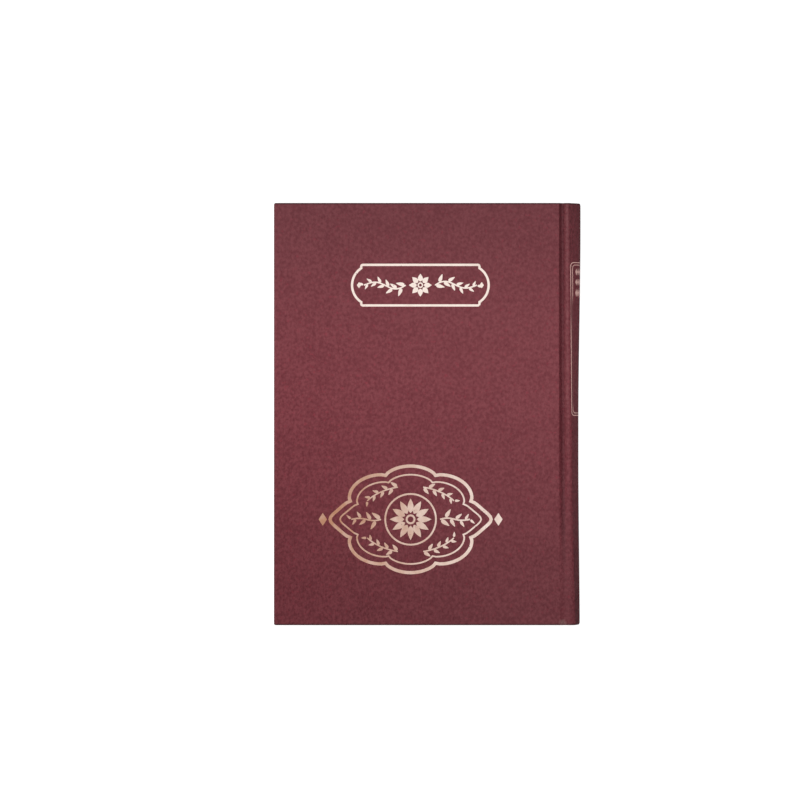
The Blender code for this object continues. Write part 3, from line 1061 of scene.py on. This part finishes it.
def lay_on_cover(name, bm, x, y, material):
    """Put a flat stamp on the front cover, its parts at slightly different heights in case they cross."""
    film = foil().film
    for number, island in enumerate(face_islands(bm)):
        lift = film * (1 + LIFT_SHARE * (number % LIFT_STEPS))
        for v in {v for face in island for v in face.verts}:
            v.co = Vector((x + v.co.x, y + v.co.y, BOOK_TOP + lift))
    return thicken(new_piece(name, bm, material, UP), 2 * film)


def rounded_frame(half_width, top, bottom, radius):
    """A tall frame with round corners, closely stepped so that it can follow a curved spine."""
    right, upper, lower = half_width - radius, top - radius, bottom + radius
    corners = []
    for quarter, (cx, cy) in enumerate(((right, upper), (-right, upper), (-right, lower), (right, lower))):
        corners += [(cx + radius * math.cos(a), cy + radius * math.sin(a))
                    for a in spread(quarter * QUARTER, (quarter + 1) * QUARTER, 6)]
    longest = 2 * top / 40
    points = []
    for (x, y), (nx, ny) in zip(corners, corners[1:] + corners[:1]):
        pieces = max(1, round(math.hypot(nx - x, ny - y) / longest))
        points += [(x + (nx - x) * k / pieces, y + (ny - y) * k / pieces) for k in range(pieces)]
    return points


def spine_half_arc():
    """Half of the spine's width, measured round an arc through its solid's shoulders and top."""
    rise = SHOULDER_Z - MIDDLE_Z
    reach = APEX_X - SHOULDER_X
    radius = (reach * reach + rise * rise) / (2 * reach)
    return radius * math.asin(rise / radius)


def spine_stamp(material):
    """Double frame on the spine, with three small bars of ornament in its upper end."""
    size = foil()
    half_arc = spine_half_arc()
    line = size.spine_line
    gap = size.spine_gap
    top, bottom = size.spine_top, size.spine_bottom
    outer = 0.965 * half_arc
    bar = 0.62 * half_arc
    step = bar / BAR_LOZENGES
    bm = bmesh.new()
    ribbon(bm, rounded_frame(outer, top, bottom, radius=0.0026), line)
    ribbon(bm, rounded_frame(outer - gap, top - gap, bottom + gap, radius=0.0022), 0.8 * line)
    for y, height in SPINE_BARS:
        for k in range(1 - BAR_LOZENGES, BAR_LOZENGES, 2):
            lozenge(bm, k * step, y, 0.96 * step, height / 2)
    long_edges = [e for e in bm.edges if e.calc_length() > LONGEST_EDGE]
    bmesh.ops.subdivide_edges(bm, edges=long_edges, cuts=3, use_grid_fill=True)
    tarnish = bm.verts.layers.float.new("tarnish")
    for v in bm.verts:
        if abs(abs(v.co.x) - outer + gap) < line:
            v[tarnish] = 0.9 * (smoothstep(*TARNISH_START_Y, v.co.y) - smoothstep(*TARNISH_END_Y, v.co.y))
        elif abs(v.co.x) > bar:
            v[tarnish] = 0.7 * math.exp(-((v.co.y - TARNISH_SPOT_Y) / TARNISH_SPOT_REACH) ** 2)
        v.co = spine_point(min(max(v.co.x / half_arc, -1.0), 1.0), v.co.y, size.film)
    return thicken(new_piece("spine_foil", bm, material, SPINEWARD), 2 * size.film)


@shared
def foil_material():
    """Rose-gold foil over the cloth's grain, with a painted reflection: coppery on the left and below, pale
    above, with pin holes.
    """
    material, tree, shader = new_material("Rose gold foil")
    palette = colours()
    vector = object_coordinates(tree)
    x, y, _ = split(vector)
    grain = use_group(grain_group(), vector)
    uneven = noise(vector, 160.0, 3.0, 0.6).remap(0.3, 0.7, -0.14, 0.14)
    # Painted reflection: paler to the right and above, with uneven tone at random
    tone = (x.remap(*FOIL_PAINTED_SHINE_X) * 0.72).most(y.remap(*FOIL_PAINTED_SHINE_Y)) + uneven
    on_spine = x.remap(*FOIL_SPINE_X)
    worn = noise(vector, 700.0, 2.0, 0.6).remap(0.70, 0.74)
    metal = mix(tone.remap(0.0, 1.0), palette.foil_copper, palette.foil_pale)
    metal = mix(on_spine, metal, palette.foil_rose)
    metal = mix(attribute(tree, "tarnish"), metal, palette.cloth_dark)
    plug(shader, {
        "Base Color": mix(worn, metal, palette.cloth_dark),
        "Metallic": worn.remap(0.0, 1.0, 1.0, 0.0) * on_spine.remap(0.0, 1.0, 1.0, 0.2),
        "Roughness": out(grain, "Mottle").remap(0.0, 1.0, 0.42, 0.30),
    })
    bump(shader, out(grain, "Height"), 0.12, 0.0001)
    return material


class LEDGER_OT_stamp_foil(bpy.types.Operator):
    """Stamp the foil ornaments on the front cover and the spine"""
    bl_idname = "ledger.stamp_foil"
    bl_label = "Stamp the foil"

    def execute(self, context):
        stamps = ((title_stamp, "front_cover"), (panel_stamp, "front_cover"), (spine_stamp, "text_block"))
        for make, body in stamps:
            stamp = make(foil_material())
            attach(stamp, body)
        return {"FINISHED"}


# Papers, leaves and the sewn block

RULED_COLUMNS = (-0.084, -0.062, -0.040, 0.026, 0.044, 0.062)
RULED_FROM_X = -0.100
RULED_TO_X = 0.080
HEADING_GAPS = (0.0, 0.0012, 0.0105)
FOOT_MARGIN = 0.012
RELIEF_EDGE = (-0.0006, 0.0009)
RELIEF_STEPS_HALF = 0.0012
FOLD_LIFT = 0.0001
HINGE_SWELL = 0.0004
LEAF_SINK = 0.00003
FLYLEAF_BIND = 0.0006
LEAF_BIND = 0.0012
FIRST_LEAVES = 6
BOUND_WIDTH = 0.0074
STACK_TRIM = 0.0003
TONE_SEED = 41.0
JITTER_SEEDS = (0.0, 17.0)


def pastedown_z(x, y):
    """Inside face of the front pastedown, raised over the turned-in cloth along three edges."""
    past_turn_in = min(x - FORE_X, HALF_HEIGHT - abs(y)) - sizes().turn_in
    return PASTE_LOW.z + paper().relief * smoothstep(*RELIEF_EDGE, past_turn_in)


def near_step(low, high, place, coarse_steps):
    """Values from low to high with a closer run of them about one place."""
    start, end = place - RELIEF_STEPS_HALF, place + RELIEF_STEPS_HALF
    return spread(low, start, 4) + spread(start, end, 6)[1:] + spread(end, high, coarse_steps)[1:]


def pastedown_sheet(side, material):
    """Endpaper half glued inside a cover."""
    place = side_place(side)
    turn_in = sizes().turn_in
    xs = near_step(PASTE_LOW.x, BOARD_END_X, FORE_X + turn_in, 14)
    lower = near_step(-HALF_LEAF, 0.0, -HALF_HEIGHT + turn_in, 8)
    ys = lower + [-y for y in reversed(lower[:-1])]
    rows = [[place(Vector((x, y, pastedown_z(x, y)))) for y in ys] for x in xs]
    return sheet(f"{side}_pastedown_sheet", rows, material, -outward(side), paper().endpaper)


def hinge_sheet(side, material):
    """Strip of endpaper that crosses the joint from the pastedown to the fold."""
    place = side_place(side)
    fold_z = STRIP_HIGH.z + FOLD_LIFT
    rows = []
    for y in spread(-HALF_LEAF, HALF_LEAF, 40):
        start_z = pastedown_z(BOARD_END_X, y)
        row = []
        for t in spread(0.0, 1.0, 24):
            swell = HINGE_SWELL * math.sin(math.pi * t) ** 2
            z = start_z + (fold_z - start_z) * smoothstep(0.0, 1.0, t) + swell
            row.append(place(Vector((BOARD_END_X + (STRIP_HIGH.x - BOARD_END_X) * t, y, z))))
        rows.append(row)
    return sheet(f"{side}_hinge_sheet", rows, material, -outward(side), paper().endpaper)


def leaf_sheet(body, hinge_x, bound_x, thickness, material):
    """A flat leaf from its fore edge to the fold, finely stepped over the bend length before its hinge, with
    its ruling on a UV map.
    """
    low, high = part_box(body)
    bend_x = hinge_x - paper().bend
    xs = spread(low.x, bend_x, 12) + spread(bend_x, hinge_x, 30)[1:] + spread(hinge_x, bound_x, 3)[1:]
    z = high.z - LEAF_SINK
    rows = [[Vector((x, y, z)) for y in spread(low.y, high.y, 10)] for x in xs]
    obj = sheet(f"{body}_sheet", rows, material, UP, thickness)
    ruling = obj.data.uv_layers.new(name="Ruling")
    for loop in obj.data.loops:
        ruling.data[loop.index].uv = obj.data.vertices[loop.vertex_index].co.xy
    return obj


def chance(seed, low=0.0, high=1.0):
    """A random number for each point or copy."""
    inputs = {2: low, 3: high, "Seed": seed}
    return out(add_node(seed.tree, "FunctionNodeRandomValue", inputs, data_type="FLOAT"), 1)


@shared
def stack_tree():
    """Geometry nodes that pile leaves on a rounded back, a little unevenly."""
    inputs = floats("Bottom", "Pitch", "Thickness", "Width", "Height", "Back X", "Back Z", "Back Radius",
                    "Jitter")
    tree, given, target = geometry_tree("Leaf stack", {"Leaves": "Int", **inputs, "Seed": "Int"})
    jitter = given["Jitter"]
    seed = given["Seed"]
    column = {
        "Count": given["Leaves"],
        "Start Location": vector_of(tree, Z=given["Bottom"]),
        "Offset": vector_of(tree, Z=given["Pitch"]),
    }
    line = out(add_node(tree, "GeometryNodeMeshLine", column, mode="OFFSET"))
    _, _, z = split(out(add_node(tree, "GeometryNodeInputPosition")))
    from_back = z - given["Back Z"]
    square = given["Back Radius"] ** 2.0 - from_back * from_back
    fold = given["Back X"] + square.most(0.0).join("SQRT")
    uneven_x, uneven_y = [chance(seed + more, jitter * -1.0, jitter) for more in JITTER_SEEDS]
    spot = vector_of(tree, X=fold - given["Width"] * 0.5 + uneven_x, Y=uneven_y, Z=z)
    leaf_size = vector_of(tree, X=given["Width"], Y=given["Height"], Z=given["Thickness"])
    leaf = out(add_node(tree, "GeometryNodeMeshCube", {"Size": leaf_size}))
    leaves = instances(moved(line, spot), Instance=leaf)
    finish_tree(marked(leaves, "leaf_tone", chance(seed + TONE_SEED)), given["Material"], target)
    return tree


def rounded_back():
    """(x, z, radius) of the arc on which the folds of the sections lie."""
    fold_tip = max(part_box(f"section_{n}")[1].x for n in range(2, 9))
    edge_z = SEWN_HIGH.z - MIDDLE_Z
    tip_to_edge = fold_tip - STRIP_HIGH.x
    radius = (edge_z * edge_z + tip_to_edge * tip_to_edge) / (2 * tip_to_edge)
    return fold_tip - radius, MIDDLE_Z, radius


def section_stack(number, material):
    """The leaves of one section, or the bound edge of the first."""
    size = paper()
    low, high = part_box(f"section_{number}")
    depth = high.z - low.z
    back_x, back_z, radius = rounded_back()
    if number == 1:
        count = FIRST_LEAVES
        pitch = depth / count
        thickness = 0.45 * pitch
        width = BOUND_WIDTH
        bottom = low.z + thickness / 2
        jitter = 0.0
    else:
        pitch = size.stack_pitch
        count = round(depth / pitch)
        thickness = 0.8 * pitch
        width = LEAF_HIGH.x - LEAF_LOW.x - STACK_TRIM
        bottom = low.z + thickness / 2 + 0.1 * pitch
        jitter = size.stack_jitter
    mesh = run_tree(stack_tree(), bpy.data.meshes.new("stack"), Leaves=count, Bottom=bottom, Pitch=pitch,
                    Thickness=thickness, Width=width, Height=high.y - low.y - STACK_TRIM,
                    Back_X=back_x - STACK_TRIM / 2, Back_Z=back_z, Back_Radius=radius, Jitter=jitter,
                    Seed=number, Material=material)
    return link_object(f"section_{number}_leaves", mesh)


def circle_curve(radius, resolution):
    """Geometry node circle."""
    inputs = {"Radius": radius, "Resolution": resolution}
    return out(add_node(radius.tree, "GeometryNodeCurvePrimitiveCircle", inputs, mode="RADIUS"))


@shared
def band_tree():
    """Geometry nodes that wind thread in close turns round a curved core."""
    inputs = {"Core": "Geometry", "Wraps": "Int", **floats("Radius", "Thread")}
    tree, given, target = geometry_tree("Wound band", inputs)
    points = points_along(given["Core"], given["Wraps"])
    curves = {"Curve": circle_curve(given["Radius"], 14), "Profile Curve": circle_curve(given["Thread"], 6)}
    wrap = out(add_node(tree, "GeometryNodeCurveToMesh", curves))
    facing = add_node(tree, "FunctionNodeAlignRotationToVector", {"Vector": out(points, "Tangent")}, axis="Z")
    wraps = instances(out(points), Instance=wrap, Rotation=out(facing))
    index = out(add_node(tree, "GeometryNodeInputIndex"))
    pick = (index / 2.0).join("FLOOR").join("FLOORED_MODULO", 2.0)
    finish_tree(marked(wraps, "thread_pick", pick), given["Material"], target)
    return tree


def band_piece(end, material):
    """Two-coloured wound bead at the head or tail of the block."""
    low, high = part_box(f"{end}_band")
    radius = (high.y - low.y) / 2
    thread = paper().band_thread
    back_x, back_z, _ = rounded_back()
    arc = high.x - radius - back_x
    half = math.asin(((high.z - low.z) / 2 - radius) / arc)
    y = (low.y + high.y) / 2
    path = [(back_x + arc * math.cos(a), y, back_z + arc * math.sin(a)) for a in spread(-half, half, 24)]
    mesh = run_tree(band_tree(), line_mesh(path), Wraps=paper().band_wraps, Radius=radius - thread,
                    Thread=thread * 1.35, Material=material)
    mesh.shade_smooth()
    return link_object(f"{end}_band_weave", mesh)


@shared
def fibre_group():
    """Paper fibres: a fine tone, soft cloudiness and a height."""
    tree, vector, target = texture_tree("Paper fibres", "Tone", "Cloud", "Height")
    fine = noise(vector, 2400.0, 3.0, 0.65)
    cloud = noise(vector, 90.0, 3.0, 0.55)
    plug(target, {"Tone": fine.remap(0.3, 0.7), "Cloud": cloud.remap(0.3, 0.7), "Height": fine})
    return tree


def paper_ground(shader, vector, light, dark):
    """Fibrous paper on a shader; returns its colour."""
    fibres = use_group(fibre_group(), vector)
    tone = out(fibres, "Tone")
    plug(shader, {"Roughness": tone.remap(0.0, 1.0, 0.78, 0.92), "Specular IOR Level": 0.2})
    bump(shader, out(fibres, "Height"), 0.15, 0.00005)
    return mix(tone * 0.5 + out(fibres, "Cloud") * 0.5, dark, light)


@shared
def endpaper_material():
    """Heavy cream endpaper."""
    material, tree, shader = new_material("Endpaper")
    palette = colours()
    tone = paper_ground(shader, object_coordinates(tree), palette.endpaper, palette.endpaper_dark)
    plug(shader, {"Base Color": tone})
    return material


@shared
def edge_material():
    """Cut edges of the stacked leaves, each leaf a little different."""
    material, tree, shader = new_material("Leaf edges")
    palette = colours()
    tone = paper_ground(shader, object_coordinates(tree), palette.leaf, palette.leaf_dark)
    shade = attribute(tree, "leaf_tone").remap(0.0, 1.0, 0.0, 0.55)
    plug(shader, {"Base Color": mix(shade, tone, palette.leaf_dark)})
    return material


def line_mask(value, places, width):
    """1 where a value lies within half a width of one of the places."""
    masks = [abs(value - place) < width / 2 for place in places]
    return functools.reduce(lambda one, other: one.most(other), masks)


@shared
def leaf_material():
    """Ruled ledger paper: blue rows, red columns and a double heading line, on the leaf's own layout."""
    material, tree, shader = new_material("Ruled leaf")
    palette = colours()
    size = paper()
    vector = out(add_node(tree, "ShaderNodeUVMap", uv_map="Ruling"))
    tone = paper_ground(shader, vector, palette.leaf, palette.leaf_dark)
    x, y, _ = split(vector)
    heading_y = HALF_LEAF - size.head_margin
    from_heading = heading_y - y
    below = (from_heading > 0.5 * size.row) * (y > -HALF_LEAF + FOOT_MARGIN)
    rows = ((from_heading / size.row).join("FRACT") < size.rule / size.row) * below
    columns = line_mask(x, RULED_COLUMNS, size.rule) * (y < heading_y + HEADING_GAPS[-1])
    headings = line_mask(y, [heading_y + gap for gap in HEADING_GAPS], 1.3 * size.rule)
    inside = (x > RULED_FROM_X) * (x < RULED_TO_X)
    tone = mix(rows * inside, tone, palette.rule_blue)
    plug(shader, {"Base Color": mix(columns.most(headings) * inside, tone, palette.rule_red)})
    return material


@shared
def band_material():
    """Red and cream thread of the head bands."""
    material, tree, shader = new_material("Band thread")
    palette = colours()
    twist = noise(object_coordinates(tree), 6000.0, 2.0)
    dyed = mix(attribute(tree, "thread_pick"), palette.band_red, palette.band_cream)
    plug(shader, {
        "Base Color": mix(twist.remap(0.3, 0.7, 0.0, 0.35), dyed, palette.band_shade),
        "Roughness": twist.remap(0.3, 0.7, 0.55, 0.75),
    })
    bump(shader, twist, 0.3, 0.00005)
    return material


@shared
def linen_material():
    """Open-weave mull and linen thread."""
    material, tree, shader = new_material("Linen")
    palette = colours()
    inputs = {"Vector": object_coordinates(tree), "Scale": 260.0, "Distortion": 1.2, "Detail": 1.0}
    weft = add_node(tree, "ShaderNodeTexWave", inputs, wave_type="BANDS", bands_direction="Y")
    warp = add_node(tree, "ShaderNodeTexWave", inputs, wave_type="BANDS", bands_direction="Z")
    threads = out(weft, "Fac").most(out(warp, "Fac"))
    plug(shader, {
        "Base Color": mix(threads, palette.linen_dark, palette.linen),
        "Roughness": threads.remap(0.0, 1.0, 0.95, 0.8),
    })
    bump(shader, threads, 0.4, 0.0001)
    return material


class LEDGER_OT_paste_endpapers(bpy.types.Operator):
    """Paste the endpapers into both covers and across the joints"""
    bl_idname = "ledger.paste_endpapers"
    bl_label = "Paste the endpapers"

    def execute(self, context):
        for side in SIDES:
            pasted = pastedown_sheet(side, endpaper_material())
            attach(pasted, f"{side}_cover")
            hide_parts(f"{side}_pastedown")
            strip = hinge_sheet(side, endpaper_material())
            bend_with_cover(strip)
            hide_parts(f"{side}_endpaper_hinge")
        return {"FINISHED"}


class LEDGER_OT_lay_leaves(bpy.types.Operator):
    """Lay the flyleaves and the ruled leaves"""
    bl_idname = "ledger.lay_leaves"
    bl_label = "Lay the leaves"

    def execute(self, context):
        size = paper()
        for joint in frame["joints"]:
            body = joint["child"]
            if "cover" in body:
                continue
            x, _, z = joint["pos_m"]
            if "flyleaf" in body:
                piece = leaf_sheet(body, x, STRIP_HIGH.x - FLYLEAF_BIND, size.endpaper, endpaper_material())
            else:
                piece = leaf_sheet(body, x, STRIP_HIGH.x - LEAF_BIND, size.leaf, leaf_material())
            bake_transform(piece)
            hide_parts(body)
        return {"FINISHED"}


class LEDGER_OT_stack_sections(bpy.types.Operator):
    """Stack the leaves of the sewn sections"""
    bl_idname = "ledger.stack_sections"
    bl_label = "Stack the sections"

    def execute(self, context):
        for number in range(1, 9):
            stack = section_stack(number, edge_material())
            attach(stack, "text_block")
            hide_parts(f"section_{number}")
        return {"FINISHED"}


class LEDGER_OT_wind_bands(bpy.types.Operator):
    """Wind the head and tail bands"""
    bl_idname = "ledger.wind_bands"
    bl_label = "Wind the bands"

    def execute(self, context):
        for end in ("head", "tail"):
            band = band_piece(end, band_material())
            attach(band, "text_block")
            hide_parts(f"{end}_band")
        return {"FINISHED"}


class LEDGER_OT_finish_inside(bpy.types.Operator):
    """Give the boards, sewing, mull and lining their finishes"""
    bl_idname = "ledger.finish_inside"
    bl_label = "Finish the inside"

    def execute(self, context):
        finishes = {"front_board": card_material, "back_board": card_material, "mull": linen_material,
                    "spine_lining": endpaper_material}
        finishes.update({f"sewing_thread_{n}": linen_material for n in range(1, 5)})
        for name, make in finishes.items():
            for place in frame["nodes"][name].material_slots:
                place.material = make()
        return {"FINISHED"}


# Stage

LAMP_PLACE = Vector((-0.12, 0.03, 1.2))
LAMP_AIM = Vector((0.0, 0.03, 0.0))
WHITE = (1.0, 1.0, 1.0, 1.0)


def strip_lamp(stage):
    """A soft strip of light that looks at the cover and isn't mirrored in it."""
    lamp = bpy.data.lights.new("Soft lamp", "AREA")
    lamp.shape = "RECTANGLE"
    lamp.size = stage.lamp_width
    lamp.size_y = stage.lamp_length
    lamp.spread = math.radians(stage.lamp_spread)
    lamp.energy = stage.lamp
    obj = link_object("Soft lamp", lamp)
    obj.location = LAMP_PLACE
    obj.rotation_euler = (LAMP_AIM - LAMP_PLACE).to_track_quat("-Z", "Y").to_euler()
    obj.visible_glossy = False


def sky_light(tree, ambient, lean):
    """Strength of the world: white to the camera, a bright ceiling in reflections, and elsewhere a soft light
    that is stronger from above and from the left."""
    path = add_node(tree, "ShaderNodeLightPath")
    camera = out(path, "Is Camera Ray")
    glossy = out(path, "Is Glossy Ray")
    x, _, z = split(out(add_node(tree, "ShaderNodeTexCoord"), "Generated"))
    soft = x.remap(-1.0, 1.0, ambient + lean, ambient - lean) * z.remap(0.0, 0.8, 0.25, 1.2)
    seen = camera.most(glossy * z.remap(0.25, 0.8, 0.12, 1.0))
    return seen + (1.0 - camera.most(glossy)) * soft


def floor_material(glow):
    """Pale floor that shows white, with the object's shadow left on it."""
    material, tree, shader = new_material("Pale floor")
    path = add_node(tree, "ShaderNodeLightPath")
    plug(shader, {
        "Base Color": mix(out(path, "Is Glossy Ray"), (0.5, 0.5, 0.5), (0.3, 0.3, 0.3)),
        "Roughness": 0.9,
        "Specular IOR Level": 0.0,
        "Emission Color": WHITE,
        "Emission Strength": out(path, "Is Camera Ray") * glow,
    })
    return material


class LEDGER_OT_set_stage(bpy.types.Operator):
    """Set the floor, the world, the lamp and the camera"""
    bl_idname = "ledger.set_stage"
    bl_label = "Set the stage"

    def execute(self, context):
        scene = context.scene
        stage = scene.ledger_stage
        bm = bmesh.new()
        bmesh.ops.create_grid(bm, x_segments=1, y_segments=1, size=stage.floor_half)
        bmesh.ops.translate(bm, verts=bm.verts, vec=UP * (CAD_LOW.z - stage.floor_gap))
        floor = new_piece("floor", bm, floor_material(stage.floor_glow), UP)
        scene.world = bpy.data.worlds.new("Studio")
        scene.world.use_nodes = True
        tree = scene.world.node_tree
        light = sky_light(tree, stage.ambient, stage.ambient_lean)
        plug(tree.nodes["Background"], {"Color": WHITE, "Strength": light})
        strip_lamp(stage)
        camera = bpy.data.cameras.new("Camera")
        camera.lens = stage.lens
        camera.sensor_width = stage.sensor
        scene.camera = link_object("Camera", camera)
        distance = stage.view_width * camera.lens / camera.sensor_width
        scene.camera.location = (stage.aim_x, stage.aim_y, BOOK_TOP + distance)
        scene.view_settings.view_transform = "Standard"
        return {"FINISHED"}


class LEDGER_PT_looks(bpy.types.Panel):
    """Steps that dress the ledger"""
    bl_idname = "LEDGER_PT_looks"
    bl_label = "Ledger looks"
    bl_space_type = "VIEW_3D"
    bl_region_type = "UI"
    bl_category = "Ledger"

    def draw(self, context):
        for step in STEPS:
            self.layout.operator(step.bl_idname)
        for group in GROUPS:
            holder = getattr(context.scene, group)
            for name in holder.bl_rna.properties.keys():
                if name not in ("rna_type", "name"):
                    self.layout.prop(holder, name)


GROUPS = {
    "ledger_covering": LedgerCovering,
    "ledger_colours": LedgerColours,
    "ledger_foil": LedgerFoil,
    "ledger_paper": LedgerPaper,
    "ledger_stage": LedgerStage,
}
STEPS = (
    LEDGER_OT_set_stage,
    LEDGER_OT_dress_covers,
    LEDGER_OT_dress_joints,
    LEDGER_OT_dress_spine,
    LEDGER_OT_stamp_foil,
    LEDGER_OT_paste_endpapers,
    LEDGER_OT_lay_leaves,
    LEDGER_OT_stack_sections,
    LEDGER_OT_wind_bands,
    LEDGER_OT_finish_inside,
)


def register():
    """Make the classes and the scene's settings known to Blender."""
    for kind in (*GROUPS.values(), *STEPS, LEDGER_PT_looks):
        bpy.utils.register_class(kind)
    for name, kind in GROUPS.items():
        setattr(bpy.types.Scene, name, PointerProperty(type=kind))


def unregister():
    """Take them back in reverse order."""
    for name in GROUPS:
        delattr(bpy.types.Scene, name)
    for kind in reversed((*GROUPS.values(), *STEPS, LEDGER_PT_looks)):
        bpy.utils.unregister_class(kind)


def main():
    """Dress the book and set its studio."""
    register()
    for step in STEPS:
        family, name = step.bl_idname.split(".")
        getattr(getattr(bpy.ops, family), name)()


if __name__ == "__main__":
    main()
